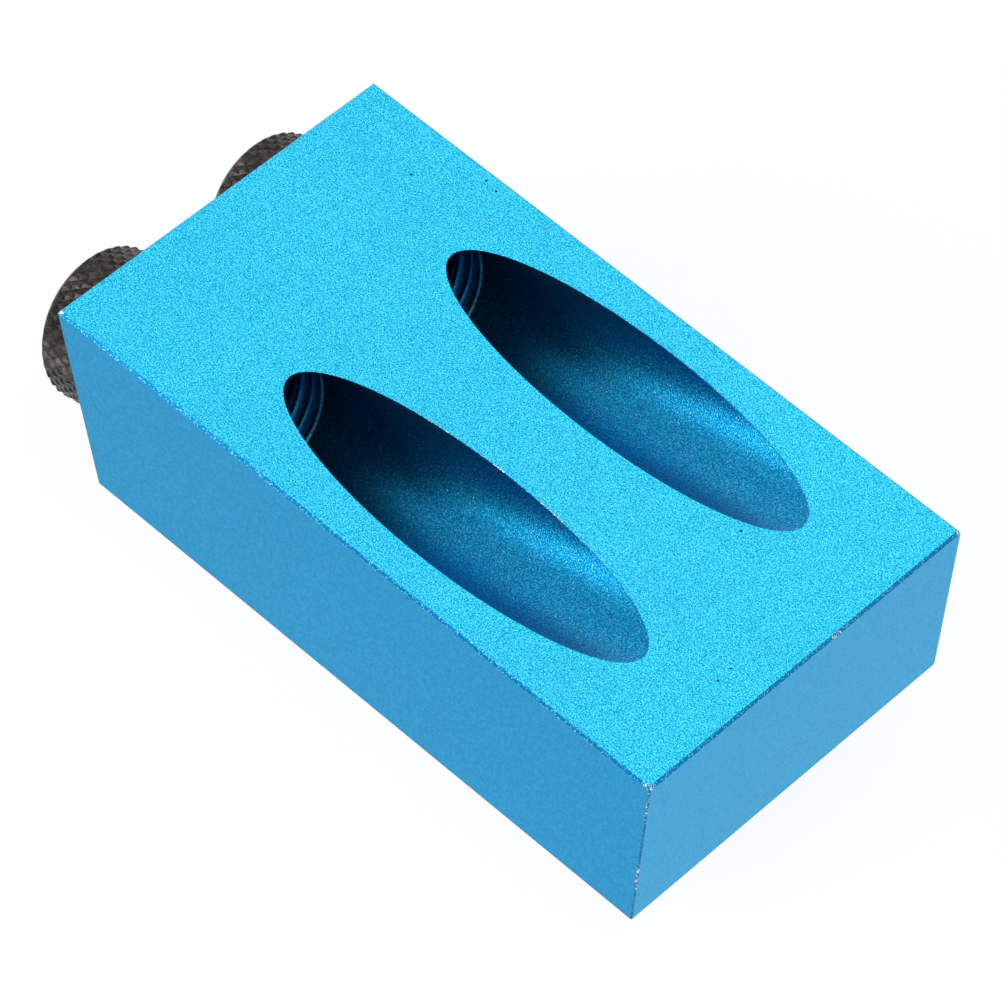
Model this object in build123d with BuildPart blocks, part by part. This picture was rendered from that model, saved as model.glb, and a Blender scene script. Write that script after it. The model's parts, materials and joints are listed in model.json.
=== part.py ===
from build123d import *

# Angle drilling guide: a block with two slanted drill passages and two screw-in drill bushes.
#
# The block is one bar of blue anodised aluminium with a sloped back face. Two passages start
# square to that face, run forward and upward, and break out of the work face in long ellipses.
# Each passage begins with a socket, into which a knurled steel bush screws that steers the drill.
# In use the work face is clamped against the wood. The block lies here with that face up.
#
# Frame: millimetres, +Z up, +X from the bushes to the plain front face. The origin is the centre
# of the base face. Left and right are as seen from above with the bushes at the far left.

import os
from math import cos, radians, sin, tan

# Block
block_length = 62.8  # work face, from its back edge to its front edge
block_width = 35.0
block_height = 17.0
edge_radius = 0.2

# Drill passages
passage_angle = 16.3  # between a passage and the work face, in degrees
passage_diameter = 10.4
passage_spacing = 18.0
mouth_distance = 35.6  # from the work face's back edge to the middle of each mouth
socket_diameter = 12.0  # over the thread
socket_depth = 13.5
socket_lead_in = 0.3

# Drill bushes
drill_diameter = 8.0
drill_clearance = 0.05  # on the radius
head_diameter = 13.2
head_length = 6.4
head_chamfer = 0.6
drill_lead_in = 0.8
shank_length = 9.5
shank_clearance = 0.05  # on the radius, between the shank and its socket
shank_chamfer = 0.6
relief_width = 1.2  # groove turned where the thread runs out under the head
relief_depth = 0.8
left_stand_off = 0.6  # the left bush is unscrewed by half a turn

# Diamond knurl on the heads
knurl_starts = 40
knurl_angle = 34.0  # between a groove and the bush's axis, in degrees
knurl_depth = 0.28

# Worked out from the driving dimensions
slope = radians(passage_angle)
slope_run = block_height * tan(slope)
base_length = block_length - slope_run
front_x = base_length / 2
back_edge_x = front_x - block_length
mouth_x = back_edge_x + mouth_distance
passage_radius = passage_diameter / 2
socket_radius = socket_diameter / 2
shank_radius = socket_radius - shank_clearance
relief_radius = shank_radius - relief_depth
drill_radius = drill_diameter / 2 + drill_clearance
head_radius = head_diameter / 2
seat_distance = mouth_distance * cos(slope)  # along a passage, from its seat to its mouth's middle
outward = Vector(-cos(slope), 0, -sin(slope))


def seat_plane(side):
    """The sloped back face at one passage: the normal runs outward along the passage's axis."""
    mouth = Vector(mouth_x, side * passage_spacing / 2, block_height)
    return Plane(origin=mouth + outward * seat_distance, x_dir=(0, 1, 0), z_dir=outward)


def guide_block():
    """The bar, and in its sloped back face the sockets and the passages that go on from them."""
    past_mouth = passage_radius / tan(slope) + passage_diameter
    with BuildPart() as block:
        with BuildSketch(Plane.XZ):
            with BuildLine():
                Polyline(
                    (back_edge_x, block_height),
                    (front_x, block_height),
                    (front_x, 0),
                    (-front_x, 0),
                    close=True,
                )
            make_face()
        extrude(amount=block_width / 2, both=True)
        fillet(block.edges(), edge_radius)
        with Locations(seat_plane(-1), seat_plane(1)):
            Hole(radius=passage_radius, depth=seat_distance + past_mouth)
            CounterSinkHole(
                radius=socket_radius,
                counter_sink_radius=socket_radius + socket_lead_in,
                counter_sink_angle=90,
                depth=socket_depth,
            )
    return block


def knurl_point(step, level, level_height):
    """A point of the knurl: the peak of a diamond, or a crossing of two grooves."""
    is_peak = (step + level) % 2 == 0
    radius = head_radius if is_peak else head_radius - knurl_depth
    turn = (step % (2 * knurl_starts)) * 180 / knurl_starts
    return Vector(radius, 0, level * level_height).rotate(Axis.Z, turn)


def knurled_bar():
    """A bar along +Z covered in pyramids, somewhat longer than the head at both of its ends.

    Peaks and crossings take turns round each level, and every level is half a diamond above the
    last and half a diamond round from it, so each diamond has its peak on one level and its upper
    and lower corners on the levels next to it.
    """
    level_height = head_radius * radians(180 / knurl_starts) / tan(radians(knurl_angle))
    levels = int(head_length / level_height) + 3
    facets = []
    for level in range(levels):
        for step in range(2 * knurl_starts):
            peak_is_below = (step + level) % 2 == 0
            peak_level = level if peak_is_below else level + 1
            corner_level = level + 1 if peak_is_below else level
            peak = knurl_point(step, peak_level, level_height)
            corner = knurl_point(step, corner_level, level_height)
            for neighbour in (step - 1, step + 1):
                side_corner = knurl_point(neighbour, peak_level, level_height)
                facets.append(Face(Wire.make_polygon([peak, corner, side_corner])))
    for level in (0, levels):
        outline = [knurl_point(step, level, level_height) for step in range(2 * knurl_starts)]
        facets.append(Face(Wire.make_polygon(outline)))
    return Solid(Shell(facets)).moved(Location((0, 0, -level_height)))


def drill_bush(shoulder, knurl):
    """One turned bush. Its head stands out from the shoulder's plane and its shank goes in."""
    profile_plane = Plane(shoulder.origin, x_dir=shoulder.x_dir, z_dir=-shoulder.y_dir)
    axis = Axis(shoulder.origin, shoulder.z_dir)
    past_crest = 2 * head_chamfer
    with BuildPart() as bush:
        add(knurl.moved(shoulder.location))
        with BuildSketch(profile_plane):
            with BuildLine():
                Polyline(
                    (0, 0),
                    (head_radius - head_chamfer, 0),
                    (head_radius + past_crest - head_chamfer, past_crest),
                    (head_radius + past_crest - head_chamfer, head_length - past_crest),
                    (head_radius - head_chamfer, head_length),
                    (0, head_length),
                    close=True,
                )
            make_face()
        revolve(axis=axis, mode=Mode.INTERSECT)
        with BuildSketch(profile_plane):
            with BuildLine():
                Polyline(
                    (0, 0),
                    (relief_radius, 0),
                    (relief_radius, -relief_width),
                    (shank_radius, -relief_width - relief_depth),
                    (shank_radius, shank_chamfer - shank_length),
                    (shank_radius - shank_chamfer, -shank_length),
                    (0, -shank_length),
                    close=True,
                )
            make_face()
        revolve(axis=axis)
        with Locations(shoulder.offset(head_length)):
            CounterSinkHole(
                radius=drill_radius,
                counter_sink_radius=drill_radius + drill_lead_in,
                counter_sink_angle=90,
                depth=head_length + shank_length,
            )
    return bush


os.makedirs("parts", exist_ok=True)

block = guide_block()
block.part.label = "guide_block"
export_step(block.part, "parts/guide_block.step")

head_knurl = knurled_bar()

right_bush = drill_bush(seat_plane(1), head_knurl)
right_bush.part.label = "right_drill_bush"
export_step(right_bush.part, "parts/right_drill_bush.step")

left_bush = drill_bush(seat_plane(-1).offset(left_stand_off), head_knurl)
left_bush.part.label = "left_drill_bush"
export_step(left_bush.part, "parts/left_drill_bush.step")
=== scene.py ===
"""Dresses the angle drilling guide: a blue anodised block and two blackened, knurled drill bushes.

The frame gives every place: the block's box, and the axes of the two drill bores. The block and the
bushes are built again here with real threads, and with the grain and the wear of the real surfaces.
Lengths are in metres. "u" runs inward along a passage, from its seat on the sloped back face or from
a bush's shoulder, so a bush's head lies at negative u.
"""

import json
from math import atan2, ceil, cos, pi, radians, sin, tan

import bmesh
import bpy
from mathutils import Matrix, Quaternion, Vector

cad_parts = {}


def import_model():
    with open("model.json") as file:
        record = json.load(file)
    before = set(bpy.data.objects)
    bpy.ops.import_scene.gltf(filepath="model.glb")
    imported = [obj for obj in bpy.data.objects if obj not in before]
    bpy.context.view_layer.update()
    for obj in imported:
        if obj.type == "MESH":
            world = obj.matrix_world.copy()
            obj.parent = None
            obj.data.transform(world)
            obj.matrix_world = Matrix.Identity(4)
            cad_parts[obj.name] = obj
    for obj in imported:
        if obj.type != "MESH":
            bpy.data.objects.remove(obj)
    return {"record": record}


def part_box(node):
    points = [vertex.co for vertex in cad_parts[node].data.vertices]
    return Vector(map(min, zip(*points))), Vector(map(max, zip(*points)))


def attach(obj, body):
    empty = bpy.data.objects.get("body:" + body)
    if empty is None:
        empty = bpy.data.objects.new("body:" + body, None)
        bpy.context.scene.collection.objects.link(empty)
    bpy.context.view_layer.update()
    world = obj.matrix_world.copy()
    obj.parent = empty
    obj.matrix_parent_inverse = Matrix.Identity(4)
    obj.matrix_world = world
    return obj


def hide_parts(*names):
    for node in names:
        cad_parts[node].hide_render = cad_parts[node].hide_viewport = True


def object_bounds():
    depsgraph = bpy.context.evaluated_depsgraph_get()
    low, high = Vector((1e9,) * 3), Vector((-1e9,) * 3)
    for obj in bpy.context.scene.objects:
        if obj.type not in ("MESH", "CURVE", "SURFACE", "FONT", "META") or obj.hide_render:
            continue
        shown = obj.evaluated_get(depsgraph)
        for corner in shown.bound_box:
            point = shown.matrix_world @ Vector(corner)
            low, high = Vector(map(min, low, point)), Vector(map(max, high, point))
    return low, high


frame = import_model()
cad_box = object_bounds()

MM = 0.001

# Passages and their threads
PASSAGE_RADIUS = 5.2 * MM
SOCKET_RADIUS = 6.0 * MM
SOCKET_DEPTH = 13.5 * MM
SOCKET_LEAD_IN = 0.3 * MM
THREAD_PITCH = 1.25 * MM
THREAD_HEIGHT = 0.6 * MM
THREAD_FLAT = 0.12  # half the width of a crest or a root, in pitches
LIP_LENGTH = 0.2 * MM  # the burr between the thread's last groove and the passage
LIP_HEIGHT = 0.1 * MM
LIP_START = SOCKET_DEPTH - LIP_LENGTH
MOUTH_BREAK = 0.05 * MM  # the chamfer round a mouth

# The block's edges
TOP_CHAMFER = 0.25 * MM
EDGE_RADIUS = 0.14 * MM  # of the edges that aren't chamfered

# Bushes
HEAD_RADIUS = 6.6 * MM
HEAD_LENGTH = 6.4 * MM
HEAD_CHAMFER = 0.6 * MM
DRILL_LEAD_IN = 0.8 * MM
SHANK_RADIUS = 5.95 * MM
SHANK_LENGTH = 9.5 * MM
SHANK_CHAMFER = 0.6 * MM
RELIEF_WIDTH = 1.2 * MM
RELIEF_DEPTH = 0.8 * MM
KNURL_STARTS = 40
KNURL_ANGLE = radians(34.0)
KNURL_DEPTH = 0.2 * MM
KNURL_CREST = 0.8  # share of a diamond's half width at which its flat crest begins

# Fineness of the meshes
COLUMNS = 128  # round a bore or a shank
THREAD_STEPS = 12  # rows for each pitch
BORE_ROWS = 36  # along a passage
EDGE_SEGMENTS = 4  # across a rounded edge
CELLS = 8  # knurl cells for each start, along and round
SAME_POINT = 1e-7

# Read from the frame
MOUNTS = {mount["name"]: mount for mount in frame["record"]["mounts"]}
BLOCK_LOW, BLOCK_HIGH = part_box("guide_block")
OUTWARD = Vector(MOUNTS["right_drill_bore"]["axis"]).normalized()
INWARD = -OUTWARD
SLOPE = atan2(INWARD.z, INWARD.x)
ACROSS = Vector((0, 1, 0))
UPWARD = INWARD.cross(ACROSS)
DRILL_RADIUS = MOUNTS["right_drill_bore"]["dims"]["r_mm"] * MM
SHOULDERS = {side: Vector(MOUNTS[f"{side}_drill_bore"]["pos_m"]) for side in ("left", "right")}
LEFT_STAND_OFF = (SHOULDERS["left"] - SHOULDERS["right"]).dot(OUTWARD)
SEATS = {"right": SHOULDERS["right"], "left": SHOULDERS["left"] - OUTWARD * LEFT_STAND_OFF}
TOP_Z = BLOCK_HIGH.z
BACK_X = SEATS["right"].x - (TOP_Z - SEATS["right"].z) * tan(SLOPE)
FRONT_X = BLOCK_HIGH.x
LEFT_Y = BLOCK_LOW.y


def on_axis(seat, u, radius=0.0, angle=0.0):
    """The point at u along a passage, at a radius and an angle round it from the across direction."""
    return seat + INWARD * u + (ACROSS * cos(angle) + UPWARD * sin(angle)) * radius


def new_piece(name, bm, materials, body, node):
    """An object made from the mesh, which rides on the body and stands for the CAD node."""
    bmesh.ops.recalc_face_normals(bm, faces=bm.faces)
    mesh = bpy.data.meshes.new(name)
    bm.to_mesh(mesh)
    bm.free()
    piece = bpy.data.objects.new(name, mesh)
    bpy.context.scene.collection.objects.link(piece)
    for material in materials:
        mesh.materials.append(material)
    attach(piece, body)
    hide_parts(node)
    return piece


def shade(bm, corner):
    """Shades smooth, but for corners sharper than the angle and borders between two materials."""
    bmesh.ops.recalc_face_normals(bm, faces=bm.faces)
    bm.normal_update()
    for face in bm.faces:
        face.smooth = True
    for edge in bm.edges:
        faces = edge.link_faces
        one_surface = len(faces) == 2 and faces[0].material_index == faces[1].material_index
        edge.smooth = one_surface and edge.calc_face_angle(0.0) < corner


# Threads and bores

def thread_shape(phase):
    """Height of a thread over one pitch, from 0 at its root to 1 at its crest."""
    distance = abs(phase % 1.0 - 0.5)
    return min(1.0, max(0.0, (0.5 - THREAD_FLAT - distance) / (0.5 - 2 * THREAD_FLAT)))


def blend(low, high, value):
    """From 0 below low to 1 above high, with soft ends."""
    share = min(1.0, max(0.0, (value - low) / (high - low)))
    return share * share * (3 - 2 * share)


def ring(bm, seat, u, radius):
    """The points of one plain ring round a passage's axis."""
    return [bm.verts.new(on_axis(seat, u, radius, 2 * pi * column / COLUMNS)) for column in range(COLUMNS)]


def bridge(bm, rings, material):
    """Quads between each ring and the next."""
    for near, far in zip(rings, rings[1:]):
        for column in range(len(near)):
            after = (column + 1) % len(near)
            face = bm.faces.new((near[column], near[after], far[after], far[column]))
            face.material_index = material


def thread(bm, seat, start, end, radius_at, material):
    """A threaded wall from start to end, with rows that follow the helix.

    Each row is a ring cut open and drawn out by one pitch, so crests and grooves have rows of their
    own. A row that runs past an end is held there, and points that meet are merged afterwards.
    """
    first_turn = int(start // THREAD_PITCH) - 2
    turns = ceil((end - start) / THREAD_PITCH) + 4
    rows = []
    for row in range(turns * THREAD_STEPS + 1):
        points = []
        for column in range(COLUMNS + 1):
            turn = first_turn + row / THREAD_STEPS + column / COLUMNS
            u = min(end, max(start, turn * THREAD_PITCH))
            radius = radius_at(u, row / THREAD_STEPS)
            points.append(bm.verts.new(on_axis(seat, u, radius, 2 * pi * column / COLUMNS)))
        rows.append(points)
    for near, far in zip(rows, rows[1:]):
        for column in range(COLUMNS):
            corners = (near[column], near[column + 1], far[column + 1], far[column])
            bm.faces.new(corners).material_index = material


def fill(bm, loops, normal, material):
    """A flat face inside the first loop of points and round the others."""
    edges = []
    for loop in loops:
        for index, vert in enumerate(loop):
            after = loop[(index + 1) % len(loop)]
            edges.append(bm.edges.get((vert, after)) or bm.edges.new((vert, after)))
    made = bmesh.ops.triangle_fill(bm, use_beauty=True, edges=edges, normal=normal)
    for item in made["geom"]:
        if isinstance(item, bmesh.types.BMFace):
            item.material_index = material


# The block

TOP, SIDE, END, EDGE, BORE, BURR = range(6)
ALIGNED = 0.9999  # cosine of the angle up to which a face counts as facing a direction
SHARP_EDGE = radians(60)  # the upper edges' chamfers turn by less at each of their edges
BLOCK_CORNER = radians(30)
STEP_START = SHANK_LENGTH - 0.2 * MM  # from here the thread, cut outward along the shank, comes inward
STEP_END = SHANK_LENGTH + 0.5 * MM


def socket_radius_at(u, phase):
    """The socket's thread. Along the shank it is cut outward from the socket's wall."""
    inner = blend(STEP_START, STEP_END, u)
    root = SOCKET_RADIUS + THREAD_HEIGHT * (1 - inner)
    radius = root - THREAD_HEIGHT * thread_shape(phase)
    entry = blend(SOCKET_LEAD_IN, SOCKET_LEAD_IN + THREAD_PITCH, u)
    radius = SOCKET_RADIUS + (radius - SOCKET_RADIUS) * entry
    runout = blend(LIP_START - LIP_LENGTH, LIP_START, u)
    return radius + (PASSAGE_RADIUS - LIP_HEIGHT - radius) * runout


def passage(bm, seat):
    """One passage with its threaded socket. Returns its outer ring on the slope and its mouth's rim."""
    slope_ring = ring(bm, seat, 0, SOCKET_RADIUS + SOCKET_LEAD_IN)
    bridge(bm, [slope_ring, ring(bm, seat, SOCKET_LEAD_IN, SOCKET_RADIUS)], EDGE)
    thread(bm, seat, SOCKET_LEAD_IN, LIP_START, socket_radius_at, BORE)
    rings = [[] for _ in range(BORE_ROWS + 1)]
    rim = []
    mouth_centre = on_axis(seat, (TOP_Z - seat.z) / INWARD.z)
    for column in range(COLUMNS):
        angle = 2 * pi * column / COLUMNS
        u_end = (TOP_Z - seat.z - PASSAGE_RADIUS * sin(angle) * UPWARD.z) / INWARD.z
        u_wall = u_end - MOUTH_BREAK / INWARD.z
        for row in range(BORE_ROWS + 1):
            u = SOCKET_DEPTH + (u_wall - SOCKET_DEPTH) * row / BORE_ROWS
            rings[row].append(bm.verts.new(on_axis(seat, u, PASSAGE_RADIUS, angle)))
        edge_point = on_axis(seat, u_end, PASSAGE_RADIUS, angle)
        from_centre = edge_point - mouth_centre
        square_to_rim = Vector((from_centre.x * sin(SLOPE) ** 2, from_centre.y, 0)).normalized()
        rim.append(bm.verts.new(edge_point + square_to_rim * MOUTH_BREAK))
    lip = ring(bm, seat, LIP_START, PASSAGE_RADIUS - LIP_HEIGHT)
    bridge(bm, [lip, rings[0]], BURR)
    bridge(bm, rings, BORE)
    bridge(bm, [rings[-1], rim], EDGE)
    return slope_ring, rim


def bevel(bm, edges, size, segments):
    """Chamfers the edges with one segment, and rounds them with more."""
    bmesh.ops.bevel(bm, geom=edges, offset=size, segments=segments, profile=0.5,
                    affect="EDGES", clamp_overlap=True)
    bm.normal_update()


def bar(bm):
    """The bar, with its upper edges chamfered and the others rounded.

    Its slope and its work face are left open, and their outlines are returned.
    """
    slope_foot = SEATS["right"].x + SEATS["right"].z * tan(SLOPE)
    section = ((BACK_X, TOP_Z), (FRONT_X, TOP_Z), (FRONT_X, BLOCK_LOW.z), (slope_foot, BLOCK_LOW.z))
    near = [bm.verts.new((x, BLOCK_LOW.y, z)) for x, z in section]
    far = [bm.verts.new((x, BLOCK_HIGH.y, z)) for x, z in section]
    bm.faces.new(near)
    bm.faces.new(far[::-1])
    for index in range(4):
        after = (index + 1) % 4
        bm.faces.new((near[index], near[after], far[after], far[index]))
    bmesh.ops.recalc_face_normals(bm, faces=bm.faces)

    upper = [edge for edge in bm.edges if all(vert.co.z > TOP_Z - EDGE_RADIUS for vert in edge.verts)]
    bevel(bm, upper, TOP_CHAMFER, 1)
    long_edges = [edge for edge in bm.edges if edge.calc_length() > TOP_Z / 2]
    sharp = [edge for edge in long_edges if edge.calc_face_angle(0) > SHARP_EDGE]
    bevel(bm, sharp, EDGE_RADIUS, EDGE_SEGMENTS)

    outlines = {}
    for face in list(bm.faces):
        normal = face.normal
        if normal.z > ALIGNED or normal.dot(OUTWARD) > ALIGNED:
            outlines["top" if normal.z > ALIGNED else "slope"] = list(face.verts)
            bmesh.ops.delete(bm, geom=[face], context="FACES_ONLY")
        elif normal.x > ALIGNED:
            face.material_index = END
        elif normal.z < -ALIGNED or abs(normal.y) > ALIGNED:
            face.material_index = SIDE
        else:
            face.material_index = EDGE
    return outlines


def guide_block(materials):
    """The anodised block, with both passages."""
    bm = bmesh.new()
    outlines = bar(bm)
    slope_rings, rims = zip(*[passage(bm, SEATS[side]) for side in ("left", "right")])
    fill(bm, [outlines["slope"], *slope_rings], OUTWARD, END)
    fill(bm, [outlines["top"], *rims], Vector((0, 0, 1)), TOP)
    bmesh.ops.remove_doubles(bm, verts=bm.verts, dist=SAME_POINT)
    shade(bm, BLOCK_CORNER)
    return new_piece("guide_block_body", bm, materials, "block", "guide_block")


# The bushes

KNURL, TURNED, THREADED = range(3)
BUSH_CORNER = radians(20)


def to_grooves(across, along):
    """Distances to the nearest groove of each hand, from a place counted in diamonds."""
    return [abs(value - round(value)) for value in (across + along, across - along)]


def knurl_radius_at(across, along):
    """The head's radius at a place counted in diamonds round the head and along it."""
    height = min(1.0, min(to_grooves(across, along)) * 2 / KNURL_CREST)
    return HEAD_RADIUS - KNURL_DEPTH * (1 - height)


def head_envelope(u):
    """The head's radius as far as the chamfers at both of its ends allow it."""
    return HEAD_RADIUS - HEAD_CHAMFER + min(u + HEAD_LENGTH, -u)


def knurled_wall(bm, shoulder):
    """The knurl as triangles that follow its grooves. Returns its outer and its inner ring.

    Its first and its last row of cells run past the head's ends, and are held there.
    """
    columns = KNURL_STARTS * CELLS
    diamond = 2 * pi * HEAD_RADIUS / KNURL_STARTS / tan(KNURL_ANGLE)
    cell = diamond / CELLS
    count = ceil(HEAD_LENGTH / cell) + 1
    rows = []
    for row in range(count + 1):
        u = min(0.0, max(-HEAD_LENGTH, -HEAD_LENGTH + (row - 0.5) * cell))
        points = []
        for column in range(columns):
            radius = min(knurl_radius_at(column / CELLS, row / CELLS), head_envelope(u))
            points.append(bm.verts.new(on_axis(shoulder, u, radius, 2 * pi * column / columns)))
        rows.append(points)
    for row, (near, far) in enumerate(zip(rows, rows[1:])):
        for column in range(columns):
            after = (column + 1) % columns
            a, b, c, d = near[column], near[after], far[after], far[column]
            first, second = to_grooves((column + 0.5) / CELLS, (row + 0.5) / CELLS)
            for corners in ((a, b, d), (b, c, d)) if first < second else ((a, b, c), (a, c, d)):
                bm.faces.new(corners).material_index = KNURL
    return rows[0], rows[-1]


def shank_radius_at(u, phase):
    """The shank with its thread, between the relief groove and the chamfer at its end."""
    relief = SHANK_RADIUS - RELIEF_DEPTH + max(0.0, u - RELIEF_WIDTH)
    nose = SHANK_RADIUS - SHANK_CHAMFER + SHANK_LENGTH - u
    ridge = SHANK_RADIUS - THREAD_HEIGHT * thread_shape(phase)
    return min(relief, nose, ridge)


def drill_bush(side, materials):
    """One bush: knurled head, threaded shank and plain drill bore."""
    bm = bmesh.new()
    shoulder = SHOULDERS[side]
    outer_rim, inner_rim = knurled_wall(bm, shoulder)
    stand_off = LEFT_STAND_OFF if side == "left" else 0.0
    thread(bm, SEATS[side], -stand_off, SHANK_LENGTH - stand_off,
           lambda u, phase: shank_radius_at(u + stand_off, phase), THREADED)
    relief_ring = ring(bm, shoulder, 0, SHANK_RADIUS - RELIEF_DEPTH)
    nose_ring = ring(bm, shoulder, SHANK_LENGTH, SHANK_RADIUS - SHANK_CHAMFER)
    bore_end = ring(bm, shoulder, SHANK_LENGTH, DRILL_RADIUS)
    bore_start = ring(bm, shoulder, DRILL_LEAD_IN - HEAD_LENGTH, DRILL_RADIUS)
    bore_mouth = ring(bm, shoulder, -HEAD_LENGTH, DRILL_RADIUS + DRILL_LEAD_IN)
    bridge(bm, [nose_ring, bore_end, bore_start, bore_mouth], TURNED)
    fill(bm, [outer_rim, bore_mouth], OUTWARD, TURNED)
    fill(bm, [inner_rim, relief_ring], INWARD, TURNED)
    bmesh.ops.remove_doubles(bm, verts=bm.verts, dist=SAME_POINT)
    shade(bm, BUSH_CORNER)
    return new_piece(f"{side}_bush_body", bm, materials, f"{side}_bush",
                     f"{side}_drill_bush")


# Materials

class Nodes:
    """Makes a material's nodes and links them."""

    def __init__(self, name):
        self.material = bpy.data.materials.new(name)
        self.material.use_nodes = True
        self.tree = self.material.node_tree
        self.shader = self.tree.nodes["Principled BSDF"]
        self.place = self.add("ShaderNodeTexCoord").outputs["Object"]

    def add(self, kind, inputs=None, **settings):
        """A new node with its settings, and with its inputs set or linked."""
        node = self.tree.nodes.new(kind)
        for name, value in settings.items():
            setattr(node, name, value)
        for name, value in (inputs or {}).items():
            self.put(value, node.inputs[name])
        return node

    def put(self, value, socket):
        """Links an output to the input, or sets the input to a value."""
        if isinstance(value, bpy.types.NodeSocket):
            self.tree.links.new(value, socket)
        else:
            socket.default_value = value

    def noise(self, size, detail=2.0, roughness=0.5):
        """Noise whose features are about as large as size."""
        inputs = {"Vector": self.place, "Scale": 1 / size, "Detail": detail, "Roughness": roughness}
        return self.add("ShaderNodeTexNoise", inputs).outputs["Fac"]

    def cells(self, size):
        """The distance to the middle of the nearest of scattered cells, in sizes."""
        inputs = {"Vector": self.place, "Scale": 1 / size}
        return self.add("ShaderNodeTexVoronoi", inputs).outputs["Distance"]

    def near(self, point, reach):
        """1 in the middle of a knock at the point, and 0 further off than its reach."""
        gap = self.add("ShaderNodeVectorMath", {0: self.place, 1: point}, operation="DISTANCE")
        return self.range(gap.outputs["Value"], KNOCK_MIDDLE * reach, reach, 1.0, 0.0)

    def math(self, operation, *values):
        """The result of a sum, a product or a comparison."""
        return self.add("ShaderNodeMath", dict(enumerate(values)), operation=operation).outputs[0]

    def range(self, value, low, high, to_low=0.0, to_high=1.0):
        """The value carried over from one range to another, with soft ends."""
        inputs = {"Value": value, "From Min": low, "From Max": high, "To Min": to_low, "To Max": to_high}
        return self.add("ShaderNodeMapRange", inputs, interpolation_type="SMOOTHSTEP").outputs["Result"]

    def mix(self, share, first, second):
        """A colour between the first, at a share of 0, and the second, at 1."""
        node = self.add("ShaderNodeMix", data_type="RGBA")
        for name, value in (("Factor", share), ("A", first), ("B", second)):
            sockets = [socket for socket in node.inputs if socket.name == name and socket.enabled]
            self.put(value, sockets[0])
        return [socket for socket in node.outputs if socket.enabled][0]

    def bump(self, height, distance):
        """A relief of the height, which runs from 0 to 1, times the distance."""
        return self.add("ShaderNodeBump", {"Height": height, "Distance": distance}).outputs["Normal"]

    def finish(self, **inputs):
        """Sets or links the shader's own inputs. Returns the material."""
        for name, value in inputs.items():
            self.put(value, self.shader.inputs[name.replace("_", " ")])
        return self.material


# Colours: those of a face's pits, its level and its peaks, and single ones
WORK_FACE_BLUES = ((0.0, 0.27, 0.56, 1), (0.018, 0.58, 0.88, 1), (0.11, 0.84, 1.0, 1))
# painted shade: the sides and the end are the same anodising as the work face, but their blues are set
# darker, partly for their smoother finish and partly for how the light falls on each face
SIDE_BLUES = ((0.0, 0.285, 0.57, 1), (0.0, 0.317, 0.616, 1), (0.005, 0.35, 0.66, 1))
END_BLUES = ((0.0, 0.353, 0.65, 1), (0.003, 0.39, 0.7, 1), (0.01, 0.428, 0.744, 1))
# painted shade: the passages' blues are set darker than the faces' for the shade inside the bores
PASSAGE_BLUES = ((0.0, 0.13, 0.3, 1), (0.0, 0.215, 0.45, 1), (0.02, 0.38, 0.68, 1))
# painted highlight: the lip's blues are set far lighter than the passage round it, for the light that its
# crest catches
BURR_BLUES = ((0.04, 0.5, 0.7, 1), (0.1, 0.65, 0.85, 1), (0.2, 0.75, 0.9, 1))
# painted shade: the edges' blue is set darker than the faces', for the dark band that the chamfers show
# where they reflect little light
EDGE_BLUE = (0.0, 0.19, 0.44, 1)
RUBBED_BLUE = (0.12, 0.52, 0.76, 1)
# painted shade, laid over the passages toward their sockets
DEEP_SHADE_BLUE = (0.0, 0.08, 0.2, 1)
SPECK = (0.01, 0.06, 0.12, 1)
SCRATCH = (0.0, 0.2, 0.42, 1)
GLINT = (0.6, 0.85, 0.9, 1)
BARE_ALUMINIUM = (0.8, 0.7, 0.62, 1)
BLACK_OXIDE = (0.008, 0.007, 0.0066, 1)

# The anodised faces
ANODISED_METALLIC = 0.9
PITS_NOISE, LEVEL_NOISE, PEAKS_NOISE = 0.34, 0.5, 0.66
TONE_SIZE = 9 * MM  # of broad, faint clouds in the dye
TONE_SHARE = 0.1
DEEP_SHADE_X = -14 * MM  # painted shade: the passages are darkest from here to the back
DEEP_SHADE_SHARE = 0.5
SPECK_SPACING = 1.4 * MM
SPECK_RADIUS = 0.09  # in spacings
SPECK_GROUP = 5 * MM
GLINT_SIZE = 0.11 * MM
SCRATCH_WIDTH = 0.07 * MM
SCRATCH_GAPS = 0.3 * MM
SCRATCHES = [(Vector((11.65, -14.63, 17.0)) * MM, Vector((11.72, -16.32, 17.0)) * MM)]

# The edges
CHIP_SIZE = 0.2 * MM
CHIP_LIMIT = 0.54  # of the chips' noise, above which metal shows in the middle of a knock
RUB_SIZE = 0.14 * MM
EDGE_RELIEF = 0.02 * MM
EDGE_ROUGHNESS = 0.52
KNOCK_MIDDLE = 0.4  # share of its reach
KNOCKS = [  # places and reaches of the worn spots on the edges
    (Vector((BACK_X, LEFT_Y, TOP_Z)), 1.0 * MM),
    (Vector((FRONT_X, LEFT_Y, TOP_Z)), 1.3 * MM),
    (Vector((FRONT_X, -LEFT_Y, TOP_Z)), 0.8 * MM),
    (Vector((FRONT_X, 3.3 * MM, TOP_Z)), 0.9 * MM),
    (Vector((FRONT_X, LEFT_Y, 14.6 * MM)), 2.6 * MM),
    (Vector((FRONT_X, LEFT_Y, 5.2 * MM)), 3.0 * MM),
    (Vector((-6.0 * MM, -4.2 * MM, TOP_Z)), 3.0 * MM),
    (Vector((0.6 * MM, -3.8 * MM, TOP_Z)), 1.2 * MM),
    (Vector((6.2 * MM, -3.6 * MM, TOP_Z)), 2.4 * MM),
]

# The blackened steel
OXIDE_METALLIC = 0.6
OXIDE_PATCHES = 0.6 * MM
OXIDE_GRAIN = 0.12 * MM
OXIDE_RELIEF = 0.006 * MM


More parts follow.
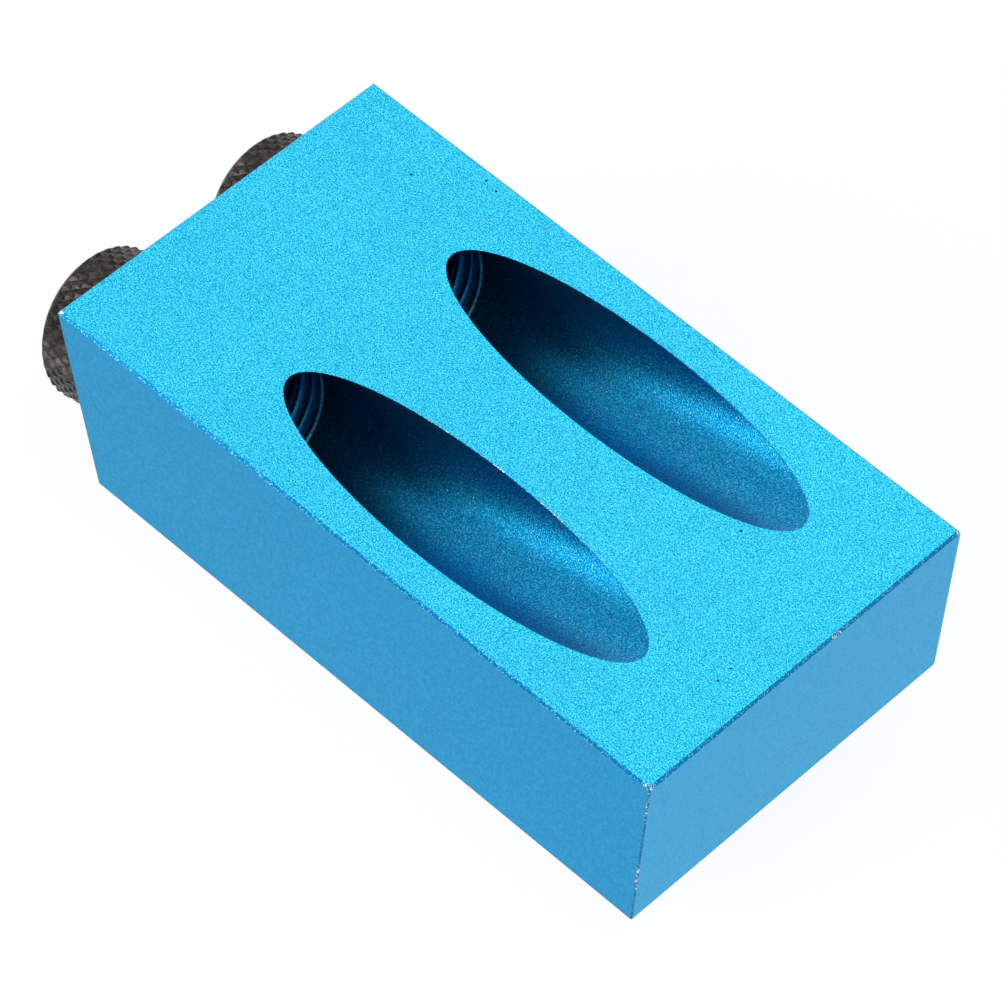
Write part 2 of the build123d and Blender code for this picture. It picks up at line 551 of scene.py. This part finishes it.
def speck_spots(nodes, amount):
    """1 on a few round specks, which lie in loose groups."""
    spot = nodes.math("LESS_THAN", nodes.cells(SPECK_SPACING), SPECK_RADIUS)
    group = nodes.math("GREATER_THAN", nodes.noise(SPECK_GROUP), 1 - amount)
    return nodes.math("MULTIPLY", spot, group)


def scratch_line(nodes, start, end):
    """1 on a short, broken line on the work face, and 0 elsewhere."""
    along = end - start
    beside = Vector((-along.y, along.x, 0)).normalized()
    place = nodes.add("ShaderNodeVectorMath", {0: nodes.place, 1: start}, operation="SUBTRACT").outputs[0]
    share, offset = (
        nodes.add("ShaderNodeVectorMath", {0: place, 1: axis}, operation="DOT_PRODUCT").outputs["Value"]
        for axis in (along / along.length_squared, beside)
    )
    within = nodes.math("LESS_THAN", nodes.math("ABSOLUTE", nodes.math("SUBTRACT", share, 0.5)), 0.5)
    thin = nodes.math("LESS_THAN", nodes.math("ABSOLUTE", offset), SCRATCH_WIDTH / 2)
    broken = nodes.math("GREATER_THAN", nodes.noise(SCRATCH_GAPS), 0.42)
    return nodes.math("MULTIPLY", nodes.math("MULTIPLY", within, thin), broken)


def anodised(name, colours, grain_size, grain_depth, roughness, specks=0.0, glints=0.0, scratches=(),
             deep_shade=False):
    """Dyed anodising over blasted metal, with painted shade deep in a passage. Colours: its pits, level
    and peaks.
    """
    pits, level, peaks = colours
    nodes = Nodes(name)
    grain = nodes.noise(grain_size, detail=1.0)
    tone = nodes.noise(TONE_SIZE)
    base = nodes.mix(nodes.range(grain, PITS_NOISE, LEVEL_NOISE), pits, level)
    base = nodes.mix(nodes.range(grain, LEVEL_NOISE, PEAKS_NOISE), base, peaks)
    base = nodes.mix(nodes.range(tone, 0.3, 0.8, to_high=TONE_SHARE), base, pits)
    # painted shade: darker toward the back, where the passage reaches its socket
    if deep_shade:
        x = nodes.add("ShaderNodeSeparateXYZ", {"Vector": nodes.place}).outputs["X"]
        base = nodes.mix(nodes.range(x, DEEP_SHADE_X, 0.0, DEEP_SHADE_SHARE, 0.0), base, DEEP_SHADE_BLUE)
    if specks:
        base = nodes.mix(speck_spots(nodes, specks), base, SPECK)
    for start, end in scratches:
        base = nodes.mix(scratch_line(nodes, start, end), base, SCRATCH)
    if glints:
        base = nodes.mix(nodes.math("GREATER_THAN", nodes.noise(GLINT_SIZE), glints), base, GLINT)
    normal = nodes.bump(grain, grain_depth)
    return nodes.finish(Base_Color=base, Metallic=ANODISED_METALLIC, Roughness=roughness, Normal=normal)


def worn_edge(name, colour, knocks):
    """The chamfered and rounded edges: rubbed anodising on a blue darkened as painted shade, with bare
    metal where they were knocked.
    """
    nodes = Nodes(name)
    rubbed = nodes.range(nodes.noise(RUB_SIZE, detail=1.0), 0.55, 0.66)
    base = nodes.mix(rubbed, colour, RUBBED_BLUE)
    knocked = 0.0
    for point, reach in knocks:
        knocked = nodes.math("MAXIMUM", knocked, nodes.near(point, reach))
    limit = nodes.range(knocked, 0.0, 1.0, 1.0, CHIP_LIMIT)
    chips = nodes.noise(CHIP_SIZE, roughness=0.6)
    base = nodes.mix(nodes.math("GREATER_THAN", chips, limit), base, BARE_ALUMINIUM)
    normal = nodes.bump(nodes.noise(CHIP_SIZE), EDGE_RELIEF)
    return nodes.finish(Base_Color=base, Metallic=ANODISED_METALLIC, Roughness=EDGE_ROUGHNESS,
                        Normal=normal)


def black_oxide(name, rubbed_colour, roughness):
    """Blackened steel that is rubbed brown-grey here and there."""
    nodes = Nodes(name)
    patches = nodes.range(nodes.noise(OXIDE_PATCHES), 0.36, 0.7)
    base = nodes.mix(patches, BLACK_OXIDE, rubbed_colour)
    grain = nodes.noise(OXIDE_GRAIN, detail=3.0, roughness=0.7)
    normal = nodes.bump(grain, OXIDE_RELIEF)
    gloss = nodes.range(grain, 0.3, 0.7, roughness - 0.06, roughness + 0.08)
    return nodes.finish(Base_Color=base, Metallic=OXIDE_METALLIC, Roughness=gloss, Normal=normal)


block_materials = [
    anodised("work_face", WORK_FACE_BLUES, grain_size=0.115 * MM, grain_depth=0.05 * MM, roughness=0.4,
             specks=0.35, scratches=SCRATCHES),
    anodised("sides", SIDE_BLUES, grain_size=0.2 * MM, grain_depth=0.004 * MM, roughness=0.4, specks=0.3),
    anodised("ends", END_BLUES, grain_size=0.2 * MM, grain_depth=0.006 * MM, roughness=0.42, glints=0.74),
    worn_edge("edges", EDGE_BLUE, KNOCKS),
    anodised("passages", PASSAGE_BLUES, grain_size=0.13 * MM, grain_depth=0.025 * MM, roughness=0.37,
             glints=0.71, deep_shade=True),
    anodised("burrs", BURR_BLUES, grain_size=0.2 * MM, grain_depth=0.01 * MM, roughness=0.35),
]
bush_materials = [
    black_oxide("knurl", (0.062, 0.049, 0.046, 1), roughness=0.31),
    black_oxide("turned_steel", (0.04, 0.035, 0.032, 1), roughness=0.32),
    black_oxide("threaded_steel", (0.05, 0.042, 0.04, 1), roughness=0.35),
]

guide_block(block_materials)
for bush_side in ("left", "right"):
    drill_bush(bush_side, bush_materials)


# Floor, light and camera

WHITE = (1, 1, 1)
WARM = (1, 1, 0.9)
FLOOR_REACH = 2.0
FLOOR_GAP = 0.1 * MM  # below the lowest point that the bushes reach
FLOOR_TONE = (0.8, 0.8, 0.8, 1)  # as a source of light
FLOOR_SEEN = (0.9, 0.9, 0.9, 1)  # where it shows the object's shadow
GLOW = 1.15
GLOW_SHARE = 0.8  # of what is seen of the floor, and the lamps light the rest
SKY_COLOUR = (0.75, 0.97, 1.5, 1)
SKY_LEVEL = 0.16
LAMP_DISTANCE = 0.8
LAMPS = {  # direction, width and height, power and colour
    "key_light": ((-0.5, 0.42, 0.76), (0.42, 0.42), 0.1, WHITE),
    "top_light": ((0.0, 0.0, 1.0), (0.5, 0.5), 0.15, WHITE),
    "top_right_light": ((0.2, 0.45, 0.85), (0.4, 0.4), 0.3, WHITE),
    "left_light": ((-0.45, -0.85, 0.24), (0.5, 0.2), 1.1, WARM),
    "upper_left_light": ((-0.4, -0.8, 0.45), (0.5, 0.2), 1.5, WARM),
    "front_light": ((0.85, -0.3, 0.35), (0.5, 0.3), 1.0, WHITE),
    "back_light": ((-0.75, 0.47, 0.45), (0.4, 0.3), 0.05, WHITE),
    "right_light": ((0.0, 0.9, 0.5), (0.5, 0.3), 0.5, WHITE),
}
CAMERA_PLACE = Vector((183.93, -229.50, 381.14)) * MM
CAMERA_TARGET = Vector((-4.05, 2.35, 3.46)) * MM
CAMERA_ROLL = radians(-5.96)
CAMERA_LENS = 219.89  # in millimetres, on a sensor 36 mm wide


def background_rays(tree):
    """1 for the rays that show the background: the camera's own, reflected and refracted ones."""
    path = tree.nodes.new("ShaderNodeLightPath")
    seen = path.outputs["Is Camera Ray"]
    for kind in ("Is Glossy Ray", "Is Transmission Ray"):
        either = tree.nodes.new("ShaderNodeMath")
        either.operation = "MAXIMUM"
        tree.links.new(seen, either.inputs[0])
        tree.links.new(path.outputs[kind], either.inputs[1])
        seen = either.outputs[0]
    return seen


def floor_material():
    """White where it is seen, but for the object's shadow, and a light grey as a source of light."""
    nodes = Nodes("floor")
    seen = background_rays(nodes.tree)
    nodes.finish(Base_Color=nodes.mix(seen, FLOOR_TONE, FLOOR_SEEN), Roughness=0.9)
    glow = nodes.add("ShaderNodeEmission", {"Color": (*WHITE, 1), "Strength": GLOW})
    share = nodes.math("MULTIPLY", seen, GLOW_SHARE)
    mixed = nodes.add("ShaderNodeMixShader", {0: share, 1: nodes.shader.outputs[0], 2: glow.outputs[0]})
    nodes.put(mixed.outputs[0], nodes.tree.nodes["Material Output"].inputs["Surface"])
    return nodes.material


def floor(height):
    """A wide plain floor at the height."""
    bm = bmesh.new()
    corners = ((-1, -1), (1, -1), (1, 1), (-1, 1))
    bm.faces.new([bm.verts.new((x * FLOOR_REACH, y * FLOOR_REACH, height)) for x, y in corners])
    mesh = bpy.data.meshes.new("floor")
    bm.to_mesh(mesh)
    bm.free()
    mesh.materials.append(floor_material())
    plane = bpy.data.objects.new("floor", mesh)
    bpy.context.scene.collection.objects.link(plane)


def softbox(name, direction, size, power, colour):
    """A rectangular area lamp in a direction from the middle of the block, and facing it."""
    lamp = bpy.data.lights.new(name, "AREA")
    lamp.shape = "RECTANGLE"
    lamp.size, lamp.size_y = size
    lamp.energy = power
    lamp.color = colour
    box = bpy.data.objects.new(name, lamp)
    middle = Vector((0, 0, TOP_Z / 2))
    outward = Vector(direction).normalized()
    box.location = middle + outward * LAMP_DISTANCE
    box.rotation_mode = "QUATERNION"
    box.rotation_quaternion = (-outward).to_track_quat("-Z", "Y")
    bpy.context.scene.collection.objects.link(box)


def world():
    """Weak light from all round, and white where it is seen."""
    studio = bpy.data.worlds.new("studio")
    studio.use_nodes = True
    tree = studio.node_tree
    seen = background_rays(tree)
    colour = tree.nodes.new("ShaderNodeMixRGB")
    colour.inputs["Color1"].default_value = SKY_COLOUR
    colour.inputs["Color2"].default_value = (*WHITE, 1)
    level = tree.nodes.new("ShaderNodeMapRange")
    level.inputs["To Min"].default_value = SKY_LEVEL
    level.inputs["To Max"].default_value = 1.0
    tree.links.new(seen, colour.inputs["Fac"])
    tree.links.new(seen, level.inputs["Value"])
    background = tree.nodes["Background"]
    tree.links.new(colour.outputs["Color"], background.inputs["Color"])
    tree.links.new(level.outputs["Result"], background.inputs["Strength"])
    bpy.context.scene.world = studio


def camera():
    """The photograph's view: a long lens from the front left, well above the block."""
    view = bpy.data.cameras.new("camera")
    view.sensor_width = 36.0
    view.lens = CAMERA_LENS
    view.clip_start = 0.05
    view.clip_end = 20.0
    item = bpy.data.objects.new("camera", view)
    forward = (CAMERA_TARGET - CAMERA_PLACE).normalized()
    item.location = CAMERA_PLACE
    item.rotation_mode = "QUATERNION"
    item.rotation_quaternion = Quaternion(forward, CAMERA_ROLL) @ forward.to_track_quat("-Z", "Y")
    bpy.context.scene.collection.objects.link(item)
    bpy.context.scene.camera = item


travel = max(joint["range_m"][1] for joint in frame["record"]["behaviour"]["joints"])
floor(cad_box[0].z + OUTWARD.z * travel - FLOOR_GAP)
world()
for lamp_name, lamp_settings in LAMPS.items():
    softbox(lamp_name, *lamp_settings)
camera()
bpy.context.scene.view_settings.view_transform = "Standard"
